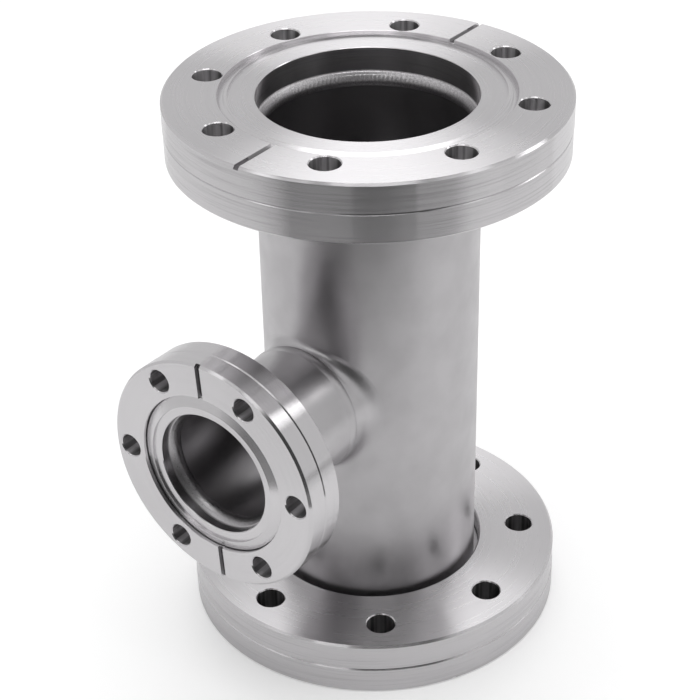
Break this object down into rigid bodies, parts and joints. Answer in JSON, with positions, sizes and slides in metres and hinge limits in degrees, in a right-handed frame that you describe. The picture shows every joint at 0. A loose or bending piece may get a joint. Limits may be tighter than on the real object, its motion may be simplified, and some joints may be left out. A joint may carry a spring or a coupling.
{
  "type": "reducing tee",
  "caption": "Stainless steel reducing tee for high vacuum: a straight run between wide bolted knife-edge flanges, with a narrower side branch and bolt rings that turn on their hubs.",
  "frame": {"origin": "centre of the bottom sealing face, on the axis of the run", "axes": "+Z is the axis of the run, from the bottom port to the top port; the branch leaves the run towards -Y; X is across both, and the row is symmetric about the YZ plane apart from the places of the bolt holes in the two turning rings"},
  "size_m": [0.1134, 0.131, 0.1688],
  "materials": {
    "flange": "bare stainless steel, fine-turned on a lathe on every face and rim",
    "tube": "bare stainless steel tube, satin as drawn and cleaned",
    "weld": "bare rippled weld metal, fused without filler",
    "wire": "bare drawn spring wire"
  },
  "bodies": {
    "tee": {"run_tube": "tube", "branch_tube": "tube", "collar_weld": "weld", "top_flange": "flange", "top_weld": "weld", "bottom_hub": "flange", "bottom_weld": "weld", "branch_hub": "flange", "branch_weld": "weld"},
    "bottom_bolt_ring": {"bottom_ring": "flange", "bottom_retaining_wire": "wire"},
    "branch_bolt_ring": {"branch_ring": "flange", "branch_retaining_wire": "wire"}
  },
  "joints": [
    {"name": "bottom_ring_turn", "type": "hinge", "parent": "tee", "child": "bottom_bolt_ring", "pos_m": [0, 0, 0], "axis": [0, 0, 1], "continuous": true},
    {"name": "branch_ring_turn", "type": "hinge", "parent": "tee", "child": "branch_bolt_ring", "pos_m": [0, -0.0743, 0.0825], "axis": [0, -1, 0], "continuous": true}
  ]
}
